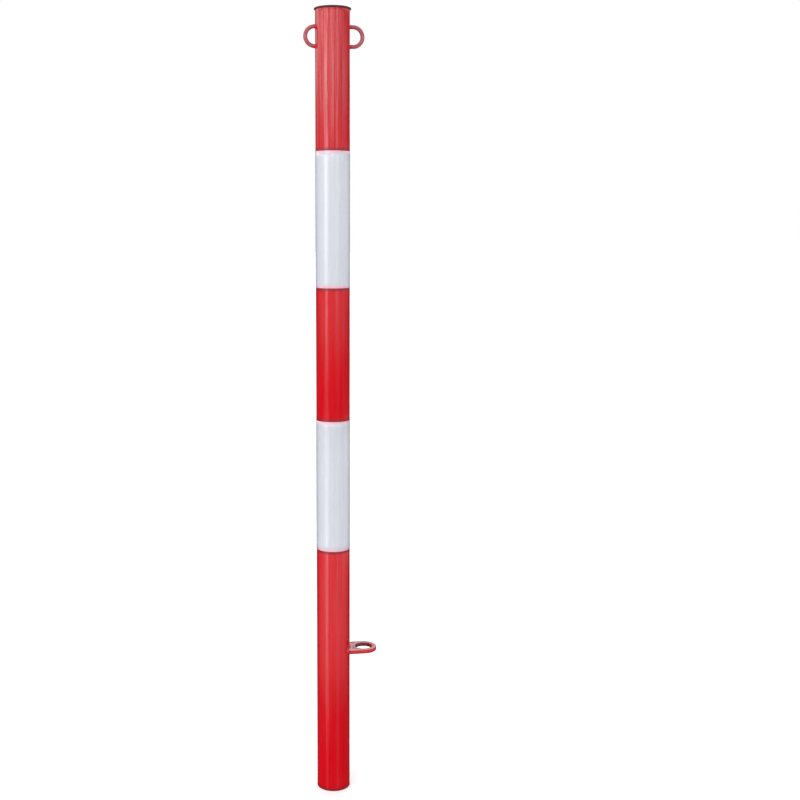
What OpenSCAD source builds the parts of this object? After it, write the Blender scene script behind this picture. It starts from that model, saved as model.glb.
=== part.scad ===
// Removable barrier post: a banded steel tube with a plastic cap, two chain
// eyes below the cap and a lock lug above the stretch that stands in the ground.
// Origin: centre of the tube's open foot. +Z runs up the tube, the chain eyes
// are on -X and +X, and the lock lug points along +X. Millimetres.

/* [Tube] */
// Outside diameter of the tube, coat included
tube_d = 51; // [48:0.5:60]
// Wall thickness of the tube
tube_wall = 2; // [1.5:0.1:3]
// Length of the tube, from the open foot to the capped head
tube_len = 1187; // [1100:1:1400]
// Chamfer that takes the burr off both outer ends
end_chamfer = 0.6; // [0.2:0.1:1]
// Height of the weld ridge left inside the tube by its long seam
seam_h = 0.5; // [0.2:0.1:0.8]
// Direction of that seam round the tube, in degrees from +X
seam_dir = 118; // [60:1:150]

/* [Bands] */
// Height of each white band
band_h = 200; // [150:5:220]
// Red left bare between the two white bands
band_gap = 200; // [100:5:220]
// Underside of the lower white band above the foot
band_foot = 385; // [260:5:420]
// Thickness of the white sheeting
sheet_t = 0.25; // [0.2:0.05:0.5]
// Width of the lap where the sheeting covers its own edge
lap_w = 12; // [6:1:25]
// Direction of the lap round the tube, in degrees from +X
lap_dir = 97; // [60:1:150]

/* [Cap] */
// How far the cap's head stands out past the tube all round
cap_over = 1.7; // [0.8:0.1:4]
// Height of the cap's rim
cap_rim = 2.2; // [1.5:0.1:4]
// How much the head is crowned above its rim
cap_crown = 1.5; // [0.5:0.1:3]
// Depth of the shank inside the tube
cap_shank = 24; // [16:1:40]
// Number of flexible fins round the shank
cap_fins = 4; // [2:1:5]

/* [Chain eyes] */
// Diameter of the rod
rod_d = 6; // [5:0.5:8]
// Bend radius to the rod's centre line
eye_r = 14; // [12:0.5:20]
// Straight leg between the tube and the bend, left eye
leg_left = 0.6; // [0.4:0.2:10]
// Straight leg between the tube and the bend, right eye
leg_right = 4.6; // [0.4:0.2:10]
// Centre of the eyes below the tube's head
eye_drop = 37.6; // [34:0.2:60]

/* [Lock lug] */
// Width of the flat bar
lug_w = 40; // [34:1:45]
// Thickness of the flat bar
lug_t = 6; // [4:0.5:8]
// Distance from the tube's axis to the centre of the hole
lug_reach = 47.5; // [46:0.5:60]
// Diameter of the hole
lug_hole_d = 26; // [12:0.5:28]
// Underside of the lug above the foot
lug_z = 219.4; // [120:0.2:240]

/* [Welds] */
// Leg of the bead round each end of a chain eye
eye_bead = 2.4; // [1.5:0.1:3]
// Leg of the beads above and below the lock lug
lug_bead = 4; // [3:0.1:5]

/* [Hidden] */
$fn = 96;

tube_r = tube_d / 2;
bore_r = tube_r - tube_wall;
cap_d = tube_d + 2 * cap_over;
rod_r = rod_d / 2;
eye_z = tube_len - eye_drop;
lug_top = lug_z + lug_t;
lug_root = tube_r - 2.7;             // straight cut end of the bar
lug_arc = 44;                        // half angle of the beads round the tube
fin_r = bore_r - 0.1;
fin_pitch = (cap_shank - 6) / cap_fins;

red = [0.80, 0.07, 0.09];
white = [0.90, 0.91, 0.94];
black = [0.03, 0.03, 0.035];

// A solid bar as wide as the tube, for cutting seats that sit on it
module tube_bar(z0, z1) {
    translate([0, 0, z0]) cylinder(r = tube_r, h = z1 - z0);
}

// Ridge along the long seam, standing g proud of its true height
module seam_ridge(z0, z1, g = 0) {
    ridge_r = 1.6 + g;
    rotate([0, 0, seam_dir])
        translate([bore_r - seam_h + 1.6, 0, z0])
            cylinder(r = ridge_r, h = z1 - z0, $fn = 32);
}

module tube() {
    color(red) {
        rotate_extrude()
            polygon([
                [bore_r, 0],
                [tube_r - end_chamfer, 0],
                [tube_r, end_chamfer],
                [tube_r, tube_len - end_chamfer],
                [tube_r - end_chamfer, tube_len],
                [bore_r, tube_len]
            ]);
        // the seam's ridge, kept inside the middle of the wall
        intersection() {
            seam_ridge(0, tube_len);
            cylinder(r = bore_r + tube_wall / 2, h = tube_len);
        }
    }
}

// Half profile of the cap: crowned head, hollow shank, flexible fins
module cap_profile() {
    head_r = cap_d / 2;
    crown_r = (head_r * head_r + cap_crown * cap_crown) / (2 * cap_crown);
    // head with a rounded rim
    difference() {
        union() {
            square([head_r - 0.7, cap_rim]);
            translate([0, 0.7]) square([head_r, cap_rim - 1.4]);
            for (z = [0.7, cap_rim - 0.7])
                translate([head_r - 0.7, z]) circle(r = 0.7, $fn = 32);
        }
        translate([-2 * head_r, -1]) square([2 * head_r, cap_rim + 2]);
    }
    // crown
    intersection() {
        translate([0, cap_rim + cap_crown - crown_r]) circle(r = crown_r, $fn = 180);
        translate([0, cap_rim - 0.4]) square([head_r - 0.7, cap_crown + 0.5]);
    }
    // shank wall, tapered for entry
    polygon([
        [bore_r - 5.2, 0.4],
        [bore_r - 5.2, -cap_shank],
        [bore_r - 4.0, -cap_shank],
        [bore_r - 3.0, -cap_shank + 3],
        [bore_r - 3.0, -2],
        [bore_r - 0.3, -1.4],
        [bore_r - 0.3, 0.4]
    ]);
    // fins, thin at the edge and swept towards the head
    for (i = [0 : cap_fins - 1])
        translate([0, -cap_shank + 4 + i * fin_pitch])
            polygon([
                [bore_r - 3.4, 0],
                [fin_r, 0.9],
                [fin_r, 1.6],
                [bore_r - 3.4, 1.4]
            ]);
}

module top_cap() {
    color(black)
        difference() {
            translate([0, 0, tube_len]) rotate_extrude() cap_profile();
            // the fins bend aside where they pass the seam
            seam_ridge(tube_len - cap_shank - 1, tube_len, 0.15);
        }
}

// Rod bent to a half ring, on the +X side, its ends shaped to the tube
module chain_eye(leg) {
    bend_x = tube_r + leg;
    color(red)
        difference() {
            translate([0, 0, eye_z]) {
                translate([bend_x, 0, 0])
                    rotate([90, 0, 0])
                        rotate([0, 0, -90])
                            rotate_extrude(angle = 180)
                                translate([eye_r, 0]) circle(r = rod_r, $fn = 48);
                for (s = [-1, 1])
                    translate([tube_r - 3, 0, s * eye_r])
                        rotate([0, 90, 0])
                            cylinder(r = rod_r, h = leg + 3, $fn = 48);
            }
            tube_bar(eye_z - eye_r - rod_d, eye_z + eye_r + rod_d);
        }
}

module chain_eye_right() {
    chain_eye(leg_right);
}

module chain_eye_left() {
    mirror([1, 0, 0]) chain_eye(leg_left);
}

// Fillet bead round one end of a rod, on the +X side; s is +1 above, -1 below
module eye_weld(leg, s) {
    color(red)
        difference() {
            translate([0, 0, eye_z + s * eye_r])
                rotate([0, 90, 0])
                    rotate_extrude($fn = 64)
                        polygon([
                            [rod_r - 0.6, tube_r - 1.2],
                            [rod_r + eye_bead, tube_r - 1.2],
                            [rod_r + eye_bead, tube_r - 0.1],
                            [rod_r + eye_bead * 0.62, tube_r + eye_bead * 0.62],
                            [rod_r + 0.15, tube_r + eye_bead],
                            [rod_r - 0.6, tube_r + eye_bead]
                        ]);
            tube_bar(eye_z - 2 * eye_r, eye_z + 2 * eye_r);
            chain_eye(leg);
        }
}

module weld_eye_right_upper() { eye_weld(leg_right, 1); }
module weld_eye_right_lower() { eye_weld(leg_right, -1); }
module weld_eye_left_upper() { mirror([1, 0, 0]) eye_weld(leg_left, 1); }
module weld_eye_left_lower() { mirror([1, 0, 0]) eye_weld(leg_left, -1); }

// Flat bar: round end, round hole, straight cut root with a shallow notch
module lock_lug() {
    color(red)
        difference() {
            translate([0, 0, lug_z])
                linear_extrude(height = lug_t)
                    union() {
                        translate([lug_root, -lug_w / 2])
                            square([lug_reach - lug_root, lug_w]);
                        translate([lug_reach, 0]) circle(r = lug_w / 2);
                    }
            translate([lug_reach, 0, lug_z - 1])
                cylinder(d = lug_hole_d, h = lug_t + 2);
            tube_bar(lug_z - 1, lug_top + 1);
        }
}

// Bead along the lug's root, round the tube; s is +1 above and -1 below
module lug_weld(s) {
    mid = lug_z + lug_t / 2;
    color(red)
        difference() {
            translate([0, 0, mid])
                mirror([0, 0, s > 0 ? 0 : 1])
                    rotate([0, 0, -lug_arc])
                        rotate_extrude(angle = 2 * lug_arc)
                            polygon([
                                [tube_r - 0.8, 0],
                                [tube_r + lug_bead, 0],
                                [tube_r + lug_bead, lug_t / 2 + 0.3],
                                [tube_r + lug_bead * 0.6, lug_t / 2 + lug_bead * 0.58],
                                [tube_r + 0.2, lug_t / 2 + lug_bead],
                                [tube_r - 0.8, lug_t / 2 + lug_bead]
                            ]);
            tube_bar(mid - 20, mid + 20);
            lock_lug();
        }
}

module weld_lug_upper() { lug_weld(1); }
module weld_lug_lower() { lug_weld(-1); }

// Sheeting wrapped once round the tube, with its lap
module white_band(z0) {
    lap_a = lap_w / tube_r * 180 / PI;
    color(white)
        translate([0, 0, z0]) {
            difference() {
                cylinder(r = tube_r + sheet_t, h = band_h, $fn = 256);
                translate([0, 0, -1]) cylinder(r = tube_r, h = band_h + 2, $fn = 256);
            }
            rotate([0, 0, lap_dir - lap_a / 2])
                rotate_extrude(angle = lap_a, $fn = 256)
                    translate([tube_r + sheet_t / 2, 0])
                        square([sheet_t * 1.5, band_h]);
        }
}

module white_band_lower() { white_band(band_foot); }
module white_band_upper() { white_band(band_foot + band_h + band_gap); }

tube();
top_cap();
chain_eye_left();
chain_eye_right();
lock_lug();
white_band_upper();
white_band_lower();
weld_eye_left_upper();
weld_eye_left_lower();
weld_eye_right_upper();
weld_eye_right_lower();
weld_lug_upper();
weld_lug_lower();
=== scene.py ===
"""Looks of the barrier post: red powder coat, white sheeting, black cap, weld beads."""
import math

import bmesh
import bpy
import numpy as np
from mathutils import Matrix, Vector


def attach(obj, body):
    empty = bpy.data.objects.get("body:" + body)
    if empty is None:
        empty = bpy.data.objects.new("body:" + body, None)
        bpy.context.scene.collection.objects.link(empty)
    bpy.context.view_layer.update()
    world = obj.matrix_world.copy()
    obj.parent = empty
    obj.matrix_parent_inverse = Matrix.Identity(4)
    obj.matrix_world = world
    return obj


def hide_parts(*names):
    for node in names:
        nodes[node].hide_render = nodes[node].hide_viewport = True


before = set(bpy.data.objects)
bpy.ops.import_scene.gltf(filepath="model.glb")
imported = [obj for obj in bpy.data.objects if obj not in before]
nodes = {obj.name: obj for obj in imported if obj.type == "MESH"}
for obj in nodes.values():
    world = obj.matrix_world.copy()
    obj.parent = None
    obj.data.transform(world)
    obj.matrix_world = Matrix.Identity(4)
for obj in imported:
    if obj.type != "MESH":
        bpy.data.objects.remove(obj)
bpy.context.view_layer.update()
scene = bpy.context.scene

# ---------------------------------------------------------------- sizes, metres
TUBE_R = 0.0255
BORE_R = 0.0235
TUBE_LEN = 1.187
SEAM_DIR = math.radians(118)
SHEET_T = 0.00025
BAND_FOOT = 0.385
BAND_H = 0.200
BAND_GAP = 0.200
LAP_DIR = math.radians(97)
LAP_W = 0.012
ROD_R = 0.003
EYE_R = 0.014
EYE_Z = 1.1494
LEG_LEFT = 0.0006
LEG_RIGHT = 0.0046
EYE_BEAD = 0.0024
LUG_W = 0.040
LUG_T = 0.006
LUG_X = 0.0475
LUG_HOLE_R = 0.013
LUG_Z = 0.2194
LUG_ROOT = TUBE_R - 0.0027
LUG_BEAD = 0.004
LUG_ARC = math.radians(44)
EDGES = (BAND_FOOT, BAND_FOOT + BAND_H, BAND_FOOT + BAND_H + BAND_GAP, BAND_FOOT + 2 * BAND_H + BAND_GAP)


# ---------------------------------------------------------------- mesh helpers
def mesh_piece(name, verts, faces, mats, face_mats=None, smooth=True):
    me = bpy.data.meshes.new(name)
    me.from_pydata([tuple(v) for v in verts], [], [tuple(f) for f in faces])
    for m in mats:
        me.materials.append(m)
    if face_mats is not None:
        me.polygons.foreach_set("material_index", np.asarray(face_mats, np.int32))
    me.update()
    me.validate()
    bm = bmesh.new()
    bm.from_mesh(me)
    bmesh.ops.recalc_face_normals(bm, faces=bm.faces)
    bm.to_mesh(me)
    bm.free()
    if smooth:
        me.shade_smooth()
    ob = bpy.data.objects.new(name, me)
    scene.collection.objects.link(ob)
    return ob


def sharp_by_angle(ob, degrees):
    ob.data.set_sharp_from_angle(angle=math.radians(degrees))


def closed_lathe(rings, n):
    """Faces of a surface whose rings each hold n points and whose last ring joins the first."""
    faces = []
    m = len(rings)
    for i in range(m):
        a, b = i * n, ((i + 1) % m) * n
        for j in range(n):
            k = (j + 1) % n
            faces.append((a + j, a + k, b + k, b + j))
    return faces


# ---------------------------------------------------------------- materials
def node_material(name):
    m = bpy.data.materials.new(name)
    m.use_nodes = True
    nt = m.node_tree
    nt.nodes.clear()
    out = nt.nodes.new("ShaderNodeOutputMaterial")
    bsdf = nt.nodes.new("ShaderNodeBsdfPrincipled")
    nt.links.new(bsdf.outputs["BSDF"], out.inputs["Surface"])
    return m, nt, bsdf


def coords(nt, scale=(1, 1, 1)):
    tc = nt.nodes.new("ShaderNodeTexCoord")
    mp = nt.nodes.new("ShaderNodeMapping")
    mp.inputs["Scale"].default_value = scale
    nt.links.new(tc.outputs["Object"], mp.inputs["Vector"])
    return mp.outputs["Vector"]


def noise(nt, vec, scale, detail=2.0, rough=0.5, dist=0.0):
    n = nt.nodes.new("ShaderNodeTexNoise")
    n.inputs["Scale"].default_value = scale
    n.inputs["Detail"].default_value = detail
    n.inputs["Roughness"].default_value = rough
    n.inputs["Distortion"].default_value = dist
    nt.links.new(vec, n.inputs["Vector"])
    return n.outputs["Fac"]


def ramp(nt, fac, stops):
    r = nt.nodes.new("ShaderNodeValToRGB")
    cr = r.color_ramp
    while len(cr.elements) > 1:
        cr.elements.remove(cr.elements[-1])
    cr.elements[0].position = stops[0][0]
    cr.elements[0].color = (*stops[0][1], 1)
    for p, c in stops[1:]:
        e = cr.elements.new(p)
        e.color = (*c, 1)
    nt.links.new(fac, r.inputs["Fac"])
    return r.outputs["Color"]


def maprange(nt, fac, lo, hi, a=0.0, b=1.0, kind="LINEAR"):
    r = nt.nodes.new("ShaderNodeMapRange")
    r.interpolation_type = kind
    r.inputs["From Min"].default_value = a
    r.inputs["From Max"].default_value = b
    r.inputs["To Min"].default_value = lo
    r.inputs["To Max"].default_value = hi
    nt.links.new(fac, r.inputs["Value"])
    return r.outputs["Result"]


def mix_color(nt, fac, a, b):
    m = nt.nodes.new("ShaderNodeMix")
    m.data_type = "RGBA"
    for sock, val in ((m.inputs[0], fac), (m.inputs[6], a), (m.inputs[7], b)):
        if isinstance(val, bpy.types.NodeSocket):
            nt.links.new(val, sock)
        elif isinstance(val, (tuple, list)):
            sock.default_value = (*val, 1)
        else:
            sock.default_value = val
    return m.outputs[2]


def math_node(nt, op, a, b):
    m = nt.nodes.new("ShaderNodeMath")
    m.operation = op
    for sock, val in ((m.inputs[0], a), (m.inputs[1], b)):
        if isinstance(val, bpy.types.NodeSocket):
            nt.links.new(val, sock)
        else:
            sock.default_value = val
    return m.outputs[0]


def bump(nt, height, distance, strength=1.0, normal=None):
    b = nt.nodes.new("ShaderNodeBump")
    b.inputs["Strength"].default_value = strength
    b.inputs["Distance"].default_value = distance
    nt.links.new(height, b.inputs["Height"])
    if normal is not None:
        nt.links.new(normal, b.inputs["Normal"])
    return b.outputs["Normal"]


def near_edges(nt, vec, edges, half):
    """1 at any of the given heights, down to 0 at half away from it."""
    z = nt.nodes.new("ShaderNodeSeparateXYZ")
    nt.links.new(vec, z.inputs["Vector"])
    best = None
    for e in edges:
        d = math_node(nt, "ABSOLUTE", math_node(nt, "SUBTRACT", z.outputs["Z"], e), 0.0)
        f = maprange(nt, d, 1.0, 0.0, half * 0.55, half)
        best = f if best is None else math_node(nt, "MAXIMUM", best, f)
    return best


def red_coat():
    """Glossy powder coat: colour drift, orange peel, die lines, painted shade on the head, beside the sheeting, at the
    foot and in the lug's hole, and a painted grey sheen on the rougher fittings.
    """
    m, nt, p = node_material("red_coat")
    v = coords(nt)
    drift = noise(nt, v, 9.0, 3.0, 0.55)
    fine = noise(nt, v, 900.0, 2.0)
    col = ramp(nt, drift, [(0.30, (0.545, 0.0028, 0.0080)), (0.70, (0.600, 0.0040, 0.0110))])
    col = mix_color(nt, maprange(nt, fine, 0.0, 0.10, 0.35, 0.75), col, (0.50, 0.002, 0.007))
    draw = noise(nt, coords(nt, (1, 1, 0.02)), 310.0, 2.0, 0.55)
    col = mix_color(nt, maprange(nt, draw, 0.0, 0.42, 0.44, 0.66), col, (0.43, 0.0015, 0.0055))
    # painted shade: the head is painted a little darker, in patches
    z = nt.nodes.new("ShaderNodeSeparateXYZ")
    nt.links.new(v, z.inputs["Vector"])
    head_painted_shade = math_node(nt, "MULTIPLY", maprange(nt, z.outputs["Z"], 0.0, 1.0, 0.93, 1.06), maprange(nt, drift, 0.7, 1.0, 0.35, 0.6))
    col = mix_color(nt, head_painted_shade, col, (0.465, 0.006, 0.013))
    # painted shade: a thin darker red line is painted beside each sheeting edge and at the foot, broken by noise, and
    # the coat is rougher there
    shade_line_noise = noise(nt, v, 420.0, 2.0, 0.6)
    painted_shade_line = math_node(nt, "MULTIPLY", near_edges(nt, v, EDGES + (0.0,), 0.0052), maprange(nt, shade_line_noise, 0.66, 1.0, 0.3, 0.6))
    col = mix_color(nt, painted_shade_line, col, (0.23, 0.004, 0.008))
    # eyes, lug and beads stand proud of the tube: their coat is rougher and painted grey-pink, a painted sheen of
    # reflected grey light
    off = nt.nodes.new("ShaderNodeVectorMath")
    off.operation = "LENGTH"
    nt.links.new(coords(nt, (1, 1, 0)), off.inputs[0])
    cloud = noise(nt, v, 170.0, 3.0, 0.6)
    painted_sheen = math_node(nt, "MULTIPLY", maprange(nt, off.outputs["Value"], 0.0, 1.0, 0.0258, 0.0290), maprange(nt, cloud, 0.72, 1.0, 0.3, 0.65))
    # on the lug the painted sheen lies on the upward face only, as a painted sky reflection, and the hole's wall is
    # painted dark as painted shade
    geo = nt.nodes.new("ShaderNodeNewGeometry")
    nz = nt.nodes.new("ShaderNodeSeparateXYZ")
    nt.links.new(geo.outputs["Normal"], nz.inputs["Vector"])
    flat = maprange(nt, nz.outputs["Z"], 0.30, 0.85, 0.45, 0.85)
    flat_top = maprange(nt, z.outputs["Z"], 1.0, 0.0, 0.5, 0.6)
    keep = math_node(nt, "MAXIMUM", flat, maprange(nt, z.outputs["Z"], 0.0, 1.0, 0.5, 0.6))
    painted_sheen = math_node(nt, "MULTIPLY", painted_sheen, keep)
    col = mix_color(nt, painted_sheen, col, mix_color(nt, flat_top, (0.36, 0.088, 0.104), (0.29, 0.050, 0.058)))
    # painted shade: the wall of the lug's hole and its rim are painted dark, in patches
    hole = nt.nodes.new("ShaderNodeVectorMath")
    hole.operation = "DISTANCE"
    nt.links.new(v, hole.inputs[0])
    hole.inputs[1].default_value = (LUG_X, 0, LUG_Z + LUG_T / 2)
    hole_painted_shade = math_node(nt, "MULTIPLY", maprange(nt, hole.outputs["Value"], 1.0, 0.0, 0.0134, 0.0146), maprange(nt, cloud, 0.55, 0.95, 0.35, 0.6))
    col = mix_color(nt, hole_painted_shade, col, (0.085, 0.010, 0.013))
    nt.links.new(col, p.inputs["Base Color"])
    rub = noise(nt, coords(nt, (1, 1, 0.06)), 260.0, 3.0, 0.6)
    patch = noise(nt, v, 24.0, 2.0)
    rough = math_node(nt, "ADD", maprange(nt, rub, 0.055, 0.12, 0.3, 0.75), maprange(nt, patch, -0.015, 0.04, 0.3, 0.7))
    rough = math_node(nt, "ADD", rough, math_node(nt, "MULTIPLY", painted_shade_line, 0.25))
    rough = math_node(nt, "ADD", rough, math_node(nt, "MULTIPLY", painted_sheen, 0.16))
    nt.links.new(rough, p.inputs["Roughness"])
    p.inputs["IOR"].default_value = 1.5
    p.inputs["Coat Weight"].default_value = 0.35
    p.inputs["Coat Roughness"].default_value = 0.03
    p.inputs["Coat IOR"].default_value = 1.45
    peel = noise(nt, v, 330.0, 1.5, 0.45)
    n1 = bump(nt, peel, 0.00003, 0.5)
    die = noise(nt, coords(nt, (1, 1, 0.035)), 250.0, 1.5, 0.5, 0.25)
    n2 = bump(nt, die, 0.00030, 1.0, n1)
    long_wave = noise(nt, coords(nt, (1, 1, 0.07)), 60.0, 1.0, 0.4)
    n3 = bump(nt, long_wave, 0.0003, 0.35, n2)
    nt.links.new(n3, p.inputs["Normal"])
    nt.links.new(n3, p.inputs["Coat Normal"])
    return m


def white_sheeting():
    """Glass bead sheeting: milky white under a clear face, faint beads and mottling."""
    m, nt, p = node_material("white_sheeting")
    v = coords(nt)
    mott = noise(nt, v, 16.0, 3.0, 0.5)
    bead = nt.nodes.new("ShaderNodeTexVoronoi")
    bead.inputs["Scale"].default_value = 2600.0
    nt.links.new(v, bead.inputs["Vector"])
    col = ramp(nt, mott, [(0.30, (0.570, 0.580, 0.636)), (0.70, (0.610, 0.616, 0.664))])
    col = mix_color(nt, maprange(nt, bead.outputs["Distance"], 0.0, 0.25, 0.1, 0.8), col, (0.53, 0.55, 0.60))
    draw = noise(nt, coords(nt, (1, 1, 0.02)), 290.0, 2.0, 0.55)
    col = mix_color(nt, maprange(nt, draw, 0.0, 0.30, 0.44, 0.66), col, (0.52, 0.53, 0.60))
    col = mix_color(nt, math_node(nt, "MULTIPLY", near_edges(nt, v, EDGES, 0.0042), 0.9), col, (0.86, 0.44, 0.54))
    nt.links.new(col, p.inputs["Base Color"])
    rub = noise(nt, coords(nt, (1, 1, 0.10)), 180.0, 3.0, 0.6)
    nt.links.new(maprange(nt, rub, 0.20, 0.32, 0.3, 0.7), p.inputs["Roughness"])
    p.inputs["IOR"].default_value = 1.5
    p.inputs["Coat Weight"].default_value = 0.9
    p.inputs["Coat Roughness"].default_value = 0.05
    p.inputs["Coat IOR"].default_value = 1.55
    n1 = bump(nt, bead.outputs["Distance"], 0.00001, 0.35)
    wave = noise(nt, coords(nt, (1, 1, 0.08)), 60.0, 1.0, 0.4)
    n2 = bump(nt, wave, 0.0003, 0.30, n1)
    die = noise(nt, coords(nt, (1, 1, 0.04)), 230.0, 1.5, 0.5)
    n3 = bump(nt, die, 0.00012, 1.0, n2)
    nt.links.new(n3, p.inputs["Normal"])
    nt.links.new(n3, p.inputs["Coat Normal"])
    return m


def cap_plastic():
    """Moulded black plastic with a fine spark-eroded grain."""
    m, nt, p = node_material("cap_plastic")
    v = coords(nt)
    grain = noise(nt, v, 2600.0, 3.0, 0.65)
    cloud = noise(nt, v, 60.0, 2.0)
    nt.links.new(ramp(nt, cloud, [(0.3, (0.038, 0.026, 0.028)), (0.7, (0.054, 0.037, 0.039))]), p.inputs["Base Color"])
    nt.links.new(maprange(nt, grain, 0.34, 0.52, 0.3, 0.7), p.inputs["Roughness"])
    p.inputs["IOR"].default_value = 1.49
    nt.links.new(bump(nt, grain, 0.00005, 0.5), p.inputs["Normal"])
    return m


def bare_bore():
    """Bore of the tube: mill finish with lines along it, red overspray near the foot."""
    m, nt, p = node_material("bare_bore")
    v = coords(nt)
    lines = noise(nt, coords(nt, (1, 1, 0.02)), 700.0, 3.0, 0.6)
    cloud = noise(nt, v, 40.0, 4.0, 0.6)
    steel = ramp(nt, cloud, [(0.25, (0.17, 0.165, 0.16)), (0.75, (0.33, 0.325, 0.32))])
    z = nt.nodes.new("ShaderNodeSeparateXYZ")
    nt.links.new(v, z.inputs["Vector"])
    edge = math_node(nt, "ADD", z.outputs["Z"], maprange(nt, cloud, -0.02, 0.02))
    spray = maprange(nt, edge, 1.0, 0.0, 0.012, 0.055)
    nt.links.new(mix_color(nt, spray, steel, (0.50, 0.014, 0.02)), p.inputs["Base Color"])
    nt.links.new(maprange(nt, spray, 0.85, 0.0), p.inputs["Metallic"])
    nt.links.new(maprange(nt, lines, 0.38, 0.62, 0.3, 0.7), p.inputs["Roughness"])
    nt.links.new(bump(nt, lines, 0.00006, 0.5), p.inputs["Normal"])
    return m


RED = red_coat()
WHITE = white_sheeting()
BLACK = cap_plastic()
BORE = bare_bore()


# ---------------------------------------------------------------- tube
def wave(th, z):
    """Shallow lengthwise waves of a drawn tube, from 0 to 1."""
    w = (
        0.50 * math.cos(7 * th + 0.7 + 0.5 * math.sin(5.1 * z))
        + 0.30 * math.cos(12 * th + 2.1 + 0.8 * math.sin(8.3 * z + 1.0))
        + 0.20 * math.cos(21 * th + 4.0 + 0.9 * math.sin(11.7 * z + 2.0))
    )
    return 0.5 + 0.5 * w


WAVE_H = 0.00005


def build_tube():
    n = 180
    edge = 0.0006
    outer = []
    # rounded foot edge, long wall, rounded head edge
    for k in range(6):
        a = math.pi / 2 * k / 5
        outer.append((TUBE_R - edge + edge * math.sin(a), edge - edge * math.cos(a), min(1.0, k / 5)))
    m = 236
    for k in range(1, m):
        outer.append((TUBE_R, edge + (TUBE_LEN - 2 * edge) * k / m, 1.0))
    for k in range(6):
        a = math.pi / 2 * k / 5
        outer.append((TUBE_R - edge + edge * math.cos(a), TUBE_LEN - edge + edge * math.sin(a), 1.0 - k / 5))
    inner = [(BORE_R + 0.0002, TUBE_LEN), (BORE_R, TUBE_LEN - 0.0002)]
    mi = 60
    for k in range(1, mi):
        inner.append((BORE_R, TUBE_LEN * (1 - k / mi)))
    inner += [(BORE_R, 0.0003), (BORE_R + 0.0003, 0.0)]
    verts, rings = [], []
    for r, z, f in outer:
        rings.append("o")
        for j in range(n):
            th = 2 * math.pi * j / n
            rr = r - WAVE_H * f * wave(th, z)
            verts.append((rr * math.cos(th), rr * math.sin(th), z))
    for r, z in inner:
        rings.append("i")
        for j in range(n):
            th = 2 * math.pi * j / n
            # inside ridge of the long seam, with a slightly uneven crest
            d = (th - SEAM_DIR + math.pi) % (2 * math.pi) - math.pi
            arc = d * BORE_R
            crest = 0.0005 * (1 + 0.10 * math.sin(z * 900) + 0.06 * math.sin(z * 2310))
            rr = r - (crest * math.exp(-((arc / 0.0009) ** 2)) if z < TUBE_LEN - 0.001 else 0.0)
            verts.append((rr * math.cos(th), rr * math.sin(th), z))
    faces = closed_lathe(rings, n)
    fm = []
    for i in range(len(rings)):
        mat = 1 if rings[i] == "i" and rings[(i + 1) % len(rings)] == "i" else 0
        fm += [mat] * n
    ob = mesh_piece("tube_shell", verts, faces, [RED, BORE], fm)
    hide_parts("tube")
    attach(ob, "root")
    return ob


# ---------------------------------------------------------------- white sheeting
def build_band(name, node, z0, dirn):
    """One wrap of sheeting with its lap: a spiral of little more than a turn, cut square."""
    lap = LAP_W / TUBE_R
    n = 200
    th0 = dirn - lap / 2
    total = 2 * math.pi + lap
    steps = [total * k / n for k in range(n + 1)]
    e = 0.00006
    zs = [0.0, e] + [BAND_H * k / 24 for k in range(1, 24)] + [BAND_H - e, BAND_H]
    verts, faces = [], []

    def put(a, z, r):
        th = th0 + a
        verts.append((r * math.cos(th), r * math.sin(th), z0 + z))

    def lift(a):
        # the end lies on the start, and comes down to the tube just past it
        over = a - 2 * math.pi
        return SHEET_T * 0.98 * min(1.0, max(0.0, (over + 0.05) / 0.05))

    nz = len(zs)
    for a in steps:
        up = lift(a)
        for z in zs:
            base = TUBE_R - WAVE_H * wave(th0 + a, z0 + z)
            edge = e if z in (0.0, BAND_H) else 0.0
            put(a, z, base + SHEET_T - edge + up)
    off = len(verts)
    for a in steps:
        up = lift(a)
        for z in zs:
            base = TUBE_R - WAVE_H * wave(th0 + a, z0 + z) - 0.00001
            put(a, z, base + up)
    for i in range(n):
        for k in range(nz - 1):
            a, b = i * nz + k, (i + 1) * nz + k
            faces.append((a, b, b + 1, a + 1))
            faces.append((off + a, off + a + 1, off + b + 1, off + b))
        for k in (0, nz - 1):
            a, b = i * nz + k, (i + 1) * nz + k
            faces.append((a, off + a, off + b, b) if k == 0 else (a, b, off + b, off + a))
    for i in (0, n):
        for k in range(nz - 1):
            a = i * nz + k
            faces.append((a, a + 1, off + a + 1, off + a) if i == 0 else (a, off + a, off + a + 1, a + 1))
    ob = mesh_piece(name, verts, faces, [WHITE])
    sharp_by_angle(ob, 50)
    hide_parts(node)
    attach(ob, "root")
    return ob


# ---------------------------------------------------------------- lock lug
def lug_outline(inset):
    """Outline of the flat bar, counter-clockwise, moved in by inset. The notch sits on the tube."""
    r = LUG_W / 2 - inset
    pts = []
    # round end
    for k in range(49):
        a = -math.pi / 2 + math.pi * k / 48
        pts.append((LUG_X + r * math.cos(a), r * math.sin(a)))
    x0 = LUG_ROOT + inset
    steps = 10
    for k in range(1, steps):
        pts.append((LUG_X + (x0 - LUG_X) * k / steps, r))
    pts.append((x0, r))
    # shallow notch to the tube
    ya = math.sqrt(max(1e-12, (TUBE_R - 0.00005) ** 2 - LUG_ROOT**2))
    for k in range(1, 5):
        pts.append((x0, r + (ya - r) * k / 5))
    for k in range(17):
        y = ya - 2 * ya * k / 16
        pts.append((math.sqrt((TUBE_R - 0.00005) ** 2 - y * y) + inset, y))
    for k in range(4, 0, -1):
        pts.append((x0, -(r + (ya - r) * k / 5)))
    pts.append((x0, -r))
    for k in range(steps - 1, 0, -1):
        pts.append((LUG_X + (x0 - LUG_X) * k / steps, -r))
    return pts


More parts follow.
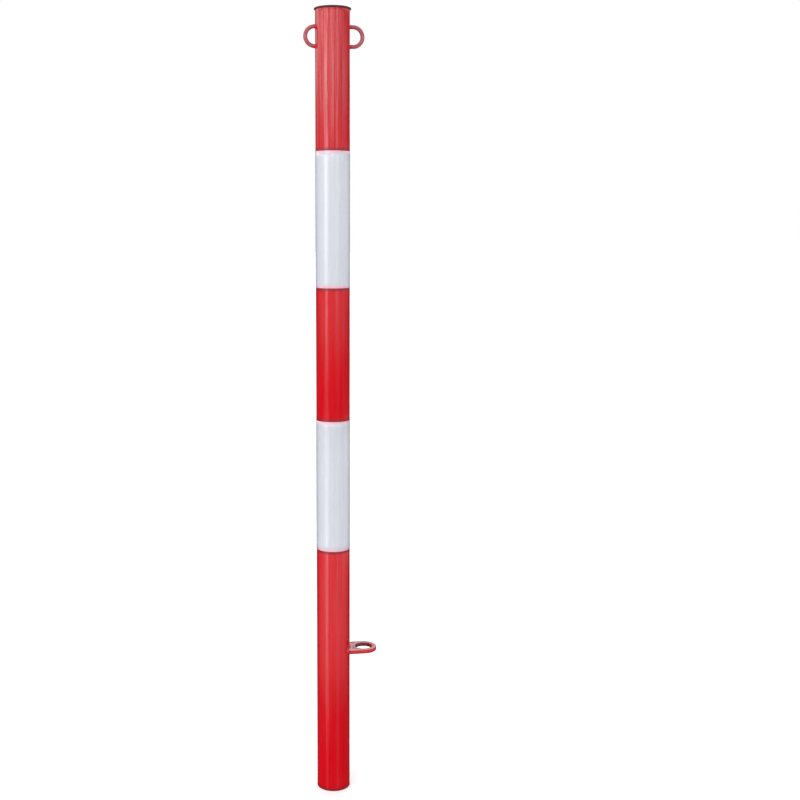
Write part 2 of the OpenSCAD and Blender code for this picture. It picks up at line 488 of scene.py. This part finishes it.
def build_lug():
    rc = 0.0008
    levels = []
    for k in range(5):
        a = math.pi / 2 * k / 4
        levels.append((LUG_Z + rc * (1 - math.sin(a)), rc * (1 - math.cos(a))))
    levels.reverse()
    low = [(LUG_Z + rc * (1 - math.sin(math.pi / 2 * (4 - k) / 4)), rc * (1 - math.cos(math.pi / 2 * (4 - k) / 4))) for k in range(5)]
    prof = sorted({(round(z, 7), round(i, 7)) for z, i in low})
    top = [(2 * LUG_Z + LUG_T - z, i) for z, i in prof][::-1]
    prof = prof + top
    bm = bmesh.new()
    outer_rings, hole_rings = [], []
    nh = 64
    for z, i in prof:
        outer_rings.append([bm.verts.new((x, y, z)) for x, y in lug_outline(i)])
        hole_rings.append([
            bm.verts.new((LUG_X + (LUG_HOLE_R + i) * math.cos(2 * math.pi * k / nh), (LUG_HOLE_R + i) * math.sin(2 * math.pi * k / nh), z))
            for k in range(nh)
        ])
    for rings, flip in ((outer_rings, False), (hole_rings, True)):
        for a, b in zip(rings, rings[1:]):
            m = len(a)
            for k in range(m):
                q = (a[k], a[(k + 1) % m], b[(k + 1) % m], b[k])
                bm.faces.new(q[::-1] if flip else q)
    for ro, rh in ((outer_rings[0], hole_rings[0]), (outer_rings[-1], hole_rings[-1])):
        edges = []
        for ring in (ro, rh):
            m = len(ring)
            for k in range(m):
                e = bm.edges.get((ring[k], ring[(k + 1) % m])) or bm.edges.new((ring[k], ring[(k + 1) % m]))
                edges.append(e)
        bmesh.ops.triangle_fill(bm, use_beauty=True, use_dissolve=False, edges=edges)
    bmesh.ops.recalc_face_normals(bm, faces=bm.faces)
    me = bpy.data.meshes.new("lug_bar")
    bm.to_mesh(me)
    bm.free()
    me.materials.append(RED)
    me.shade_smooth()
    ob = bpy.data.objects.new("lug_bar", me)
    scene.collection.objects.link(ob)
    sharp_by_angle(ob, 40)
    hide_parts("lock_lug")
    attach(ob, "root")
    return ob


# ---------------------------------------------------------------- weld beads
def ripple(s, pitch, ph):
    """Crescent ripples of a hand-laid bead: steep on one side, 0 to 1."""
    u = (s / pitch + ph) % 1.0
    return math.sin(math.pi * u**0.7) ** 1.2


def build_eye_weld(name, node, side, sign, leg, ph):
    """Bead round one end of a rod: from the tube's wall up onto the rod."""
    n, m = 84, 12
    zc = EYE_Z + sign * EYE_R
    verts, faces = [], []
    for j in range(n):
        a = 2 * math.pi * j / n
        s = a * (ROD_R + EYE_BEAD / 2)
        rp = ripple(s, 0.0019, ph)
        size = EYE_BEAD * (0.80 + 0.07 * math.sin(a * 2 + ph * 5) + 0.13 * rp)
        ca, sa = math.cos(a), math.sin(a)
        for k in range(m + 1):
            t = k / m
            # quarter bulge from the tube (t = 0) to the rod (t = 1)
            q = t * math.pi / 2
            out = size * (1 - math.sin(q)) ** 1.15
            up = size * (1 - math.cos(q)) ** 1.15
            rr = ROD_R - 0.0001 + out
            y, z = rr * ca, rr * sa
            x = math.sqrt(TUBE_R**2 - y * y) - 0.00012 + up
            verts.append((side * x, y, zc + z))
        # back to the root, hidden in rod and tube
        verts.append((side * (TUBE_R - 0.0012), (ROD_R - 0.0006) * ca, zc + (ROD_R - 0.0006) * sa))
    w = m + 2
    for j in range(n):
        a, b = j * w, ((j + 1) % n) * w
        for k in range(w):
            k2 = (k + 1) % w
            faces.append((a + k, a + k2, b + k2, b + k))
    ob = mesh_piece(name, verts, faces, [RED])
    sharp_by_angle(ob, 60)
    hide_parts(node)
    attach(ob, "root")
    return ob


def build_lug_weld(name, node, sign, ph):
    """Bead along the lug's root, round the tube, rounded off at both ends."""
    n, m = 150, 12
    mid = LUG_Z + LUG_T / 2
    verts, faces = [], []
    for j in range(n + 1):
        a = -LUG_ARC + 2 * LUG_ARC * j / n
        s = (a + LUG_ARC) * TUBE_R
        d = min(s, 2 * LUG_ARC * TUBE_R - s)
        end = math.sqrt(max(0.0, 1 - (1 - min(1.0, d / 0.0042)) ** 2))
        rp = ripple(s, 0.0023, ph)
        size = LUG_BEAD * (0.84 + 0.03 * math.sin(a * 9 + ph * 7) + 0.13 * rp) * max(0.03, end)
        ca, sa = math.cos(a), math.sin(a)

        def put(r, h):
            verts.append((r * ca, r * sa, mid + sign * h))

        put(TUBE_R - 0.0006, 0.00001)
        put(TUBE_R + size * 0.97, 0.00001)
        put(TUBE_R + size, LUG_T / 2 * 0.6 * max(0.05, end))
        for k in range(m + 1):
            q = k / m * math.pi / 2
            out = size * (1 - math.sin(q)) ** 1.08
            up = size * (1 - math.cos(q)) ** 1.08
            put(TUBE_R - 0.0001 + out, LUG_T / 2 * max(0.05, end) + up)
        put(TUBE_R - 0.0006, LUG_T / 2 * max(0.05, end) + size * 0.9)
    w = m + 5
    for j in range(n):
        a, b = j * w, (j + 1) * w
        for k in range(w):
            k2 = (k + 1) % w
            faces.append((a + k, a + k2, b + k2, b + k))
    faces.append(tuple(range(w)))
    faces.append(tuple(n * w + k for k in range(w - 1, -1, -1)))
    ob = mesh_piece(name, verts, faces, [RED])
    sharp_by_angle(ob, 60)
    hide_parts(node)
    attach(ob, "root")
    return ob


# ---------------------------------------------------------------- build
build_tube()
build_band("sheet_upper", "white_band_upper", BAND_FOOT + BAND_H + BAND_GAP, LAP_DIR)
build_band("sheet_lower", "white_band_lower", BAND_FOOT, LAP_DIR)
build_lug()
build_eye_weld("bead_left_upper", "weld_eye_left_upper", -1, 1, LEG_LEFT, 0.1)
build_eye_weld("bead_left_lower", "weld_eye_left_lower", -1, -1, LEG_LEFT, 0.6)
build_eye_weld("bead_right_upper", "weld_eye_right_upper", 1, 1, LEG_RIGHT, 0.3)
build_eye_weld("bead_right_lower", "weld_eye_right_lower", 1, -1, LEG_RIGHT, 0.8)
build_lug_weld("bead_lug_upper", "weld_lug_upper", 1, 0.2)
build_lug_weld("bead_lug_lower", "weld_lug_lower", -1, 0.7)

for name, mat in (("chain_eye_left", RED), ("chain_eye_right", RED), ("top_cap", BLACK)):
    ob = nodes[name]
    ob.data.materials.clear()
    ob.data.materials.append(mat)
    for p in ob.data.polygons:
        p.material_index = 0

# ---------------------------------------------------------------- floor
fm, fnt, fb = node_material("floor_paper")
fv = coords(fnt)
fn = noise(fnt, fv, 3.0, 2.0)
fnt.links.new(ramp(fnt, fn, [(0.3, (0.93, 0.93, 0.93)), (0.7, (0.945, 0.945, 0.945))]), fb.inputs["Base Color"])
fb.inputs["Roughness"].default_value = 0.9
fb.inputs["Specular IOR Level"].default_value = 0.2
fb.inputs["Emission Color"].default_value = (1, 1, 1, 1)
fb.inputs["Emission Strength"].default_value = 0.14
S = 40.0
floor = mesh_piece("floor", [(-S, -S, 0), (S, -S, 0), (S, S, 0), (-S, S, 0)], [(0, 1, 2, 3)], [fm], smooth=False)

# ---------------------------------------------------------------- camera
YAW = math.radians(8.5)
PITCH = math.radians(7.633)
DIST = 1.7454
CAM_H = 0.8733
SIDE = 0.0187
fwd = Vector((math.sin(YAW), math.cos(YAW), 0))
right = Vector((math.cos(YAW), -math.sin(YAW), 0))
cam_data = bpy.data.cameras.new("camera")
cam = bpy.data.objects.new("camera", cam_data)
scene.collection.objects.link(cam)
cam.location = -DIST * fwd + SIDE * right + Vector((0, 0, CAM_H))
look = (math.cos(PITCH) * fwd - math.sin(PITCH) * Vector((0, 0, 1))).normalized()
up = right.cross(look)
cam.matrix_world = Matrix.Translation(cam.location) @ Matrix((right, up, -look)).transposed().to_4x4()
cam_data.sensor_width = 36
cam_data.lens = 1163.8 / 800 * 36
cam_data.shift_x = 0.06825
cam_data.shift_y = -0.02
cam_data.clip_start = 0.01
cam_data.clip_end = 200
scene.camera = cam

# ---------------------------------------------------------------- light
FRONT = -fwd


def direction(azimuth, elevation):
    """Unit vector from the post. Azimuth is measured from the camera's side, to the right, in degrees."""
    a, e = math.radians(azimuth), math.radians(elevation)
    return (math.cos(a) * FRONT + math.sin(a) * right) * math.cos(e) + Vector((0, 0, math.sin(e)))


world = bpy.data.worlds.new("studio")
scene.world = world
world.use_nodes = True
wt = world.node_tree
wt.nodes.clear()
wout = wt.nodes.new("ShaderNodeOutputWorld")
tc = wt.nodes.new("ShaderNodeTexCoord")
sep = wt.nodes.new("ShaderNodeSeparateXYZ")
wt.links.new(tc.outputs["Generated"], sep.inputs["Vector"])


def wmath(op, a, b=0.0):
    return math_node(wt, op, a, b)


def wdot(v):
    n = wt.nodes.new("ShaderNodeVectorMath")
    n.operation = "DOT_PRODUCT"
    wt.links.new(tc.outputs["Generated"], n.inputs[0])
    n.inputs[1].default_value = v
    return n.outputs["Value"]


Z_LOW, Z_HIGH = -0.5, 0.72
height = maprange(wt, sep.outputs["Z"], 0.0, 1.0, Z_LOW, Z_HIGH)
azimuth = wmath("MULTIPLY", wmath("ARCTAN2", wdot(right), wdot(FRONT)), 180 / math.pi)


def levels(stops, tint=(0.97, 0.985, 1.0)):
    """Brightness by elevation in degrees, from 30 below the horizon to 46 above it."""
    return ramp(wt, height, [((math.sin(math.radians(e)) - Z_LOW) / (Z_HIGH - Z_LOW), tuple(v * t for t in tint)) for e, v in stops])


def lobe(center, half):
    """1 at one azimuth, smoothly down to 0 at half to either side."""
    d = wmath("ABSOLUTE", wmath("SUBTRACT", azimuth, center))
    return maprange(wt, d, 1.0, 0.0, 0.0, half, "SMOOTHSTEP")


def scaled(color, factor):
    n = wt.nodes.new("ShaderNodeVectorMath")
    n.operation = "SCALE"
    wt.links.new(color, n.inputs[0])
    wt.links.new(factor, n.inputs["Scale"])
    return n.outputs["Vector"]


def added(a, b):
    n = wt.nodes.new("ShaderNodeVectorMath")
    n.operation = "ADD"
    wt.links.new(a, n.inputs[0])
    wt.links.new(b, n.inputs[1])
    return n.outputs["Vector"]


front = levels([
    (-30, 0.0), (-25, 0.0), (-23.2, 0.04), (-21.8, 0.42), (-20, 0.72), (-16.6, 0.76), (-15.4, 0.66), (-14.6, 0.50),
    (-11.0, 0.50), (-10.0, 0.02), (-7.2, 0.0), (-6.2, 0.22), (-5, 0.62), (-3.5, 0.60), (2, 0.48), (4, 0.46), (5.2, 0.62),
    (7, 1.00), (12, 1.10), (17, 0.55), (30, 0.45), (46, 0.42),
])
back = levels([(-30, 0.03), (-2, 0.05), (0, 0.06), (10, 0.10), (15, 0.70), (21, 1.10), (34, 1.05), (46, 0.60)])
env = mix_color(wt, maprange(wt, wdot(FRONT), 0.0, 1.0, -0.60, 0.30), back, front)
# softboxes round the post, by azimuth and elevation
env = added(env, scaled(levels([
    (-30, 0.10), (-25.5, 0.30), (-23.7, 0.55), (-22, 1.0), (-18.5, 1.7), (-16.6, 2.2), (-13, 2.2), (-10.4, 1.6),
    (-8.4, 0.20), (-7, 0.9), (-5, 1.6), (-3.5, 1.8), (-1, 3.4), (2, 3.4), (4, 2.8), (7, 2.3), (12, 2.2), (18, 0.6), (46, 0.2),
]), lobe(-45, 21)))
warm = (1.0, 0.985, 0.95)
env = added(env, scaled(levels([(-3, 0.0), (-1, 0.12), (3, 0.10), (5, 0.25), (7, 0.7), (9, 0.9), (14, 0.7), (20, 0.1), (46, 0.0)], warm), lobe(-78, 76)))
env = added(env, scaled(levels([(2, 0.0), (4, 0.2), (5.5, 0.35), (7, 0.9), (9, 1.2), (14, 1.0), (20, 0.3), (46, 0.1)], warm), lobe(-126, 22)))
env = added(env, scaled(levels([
    (-30, 0.15), (-22, 0.30), (-16, 0.55), (-10.8, 0.40), (-9.4, 0.10), (-7.5, 0.12), (-3.5, 0.7), (2, 0.9), (9, 1.3), (14, 1.0), (20, 0.3), (46, 0.1),
]), lobe(31, 16)))
env = added(env, scaled(levels([(3.8, 0.0), (5, 1.9), (9, 2.0), (14, 1.3), (20, 0.3), (46, 0.1)]), lobe(-3, 20)))
env = added(env, scaled(levels([(-16.5, 0.0), (-15.2, 0.7), (-10.2, 0.7), (-9, 0.0), (-3, 0.0), (-2, 0.75), (3, 0.75), (4, 0.0)]), lobe(98, 62)))
env = added(env, scaled(levels([(-30, 0.2), (-10, 1.0), (10, 1.8), (20, 1.0), (46, 0.2)]), lobe(170, 8)))
# slats and folds in front of the softboxes, strong above the horizon and faint below it
slat = wt.nodes.new("ShaderNodeCombineXYZ")
wt.links.new(wmath("DIVIDE", azimuth, 8.5), slat.inputs["X"])
wt.links.new(wmath("MULTIPLY", sep.outputs["Z"], 13.0), slat.inputs["Y"])
slats = noise(wt, slat.outputs["Vector"], 1.0, 1.5, 0.5)
strong = maprange(wt, slats, 0.30, 1.75, 0.32, 0.68)
faint = maprange(wt, slats, 0.72, 1.28, 0.32, 0.68)
above = maprange(wt, sep.outputs["Z"], 0.0, 1.0, 0.03, 0.07)
amount = wmath("ADD", faint, wmath("MULTIPLY", above, wmath("SUBTRACT", strong, faint)))
high = maprange(wt, sep.outputs["Z"], 0.0, 1.0, 0.25, 0.40)
amount = wmath("ADD", amount, wmath("MULTIPLY", high, wmath("SUBTRACT", 1.0, amount)))
env = scaled(env, amount)
bg_env = wt.nodes.new("ShaderNodeBackground")
bg_env.inputs["Strength"].default_value = 1.0
wt.links.new(env, bg_env.inputs["Color"])
wt.links.new(bg_env.outputs["Background"], wout.inputs["Surface"])


def backdrop():
    """White sweep far round the stage. It is there for the eye only and throws no light."""
    mat = bpy.data.materials.new("backdrop_white")
    mat.use_nodes = True
    nt = mat.node_tree
    nt.nodes.clear()
    o = nt.nodes.new("ShaderNodeOutputMaterial")
    e = nt.nodes.new("ShaderNodeEmission")
    e.inputs["Color"].default_value = (1, 1, 1, 1)
    e.inputs["Strength"].default_value = 1.0
    nt.links.new(e.outputs["Emission"], o.inputs["Surface"])
    bm = bmesh.new()
    bmesh.ops.create_icosphere(bm, subdivisions=4, radius=48.0)
    me = bpy.data.meshes.new("backdrop")
    bm.to_mesh(me)
    bm.free()
    me.materials.append(mat)
    ob = bpy.data.objects.new("backdrop", me)
    scene.collection.objects.link(ob)
    ob.visible_diffuse = ob.visible_glossy = ob.visible_transmission = False
    ob.visible_volume_scatter = ob.visible_shadow = False


backdrop()


def sun(name, azimuth, elevation, strength, angle):
    """Large soft light, far off."""
    d = bpy.data.lights.new(name, "SUN")
    d.energy = strength
    d.angle = math.radians(angle)
    o = bpy.data.objects.new(name, d)
    scene.collection.objects.link(o)
    o.rotation_mode = "QUATERNION"
    o.rotation_quaternion = direction(azimuth, elevation).to_track_quat("Z", "Y")
    return o


sun("key", -38, 46, 0.66, 35)
sun("top", 30, 80, 0.80, 60)
sun("back_key", 178, 45, 0.55, 40)

floor.visible_glossy = False

scene.view_settings.view_transform = "Standard"
scene.view_settings.look = "None"
scene.view_settings.exposure = 0.0
scene.view_settings.gamma = 1.0
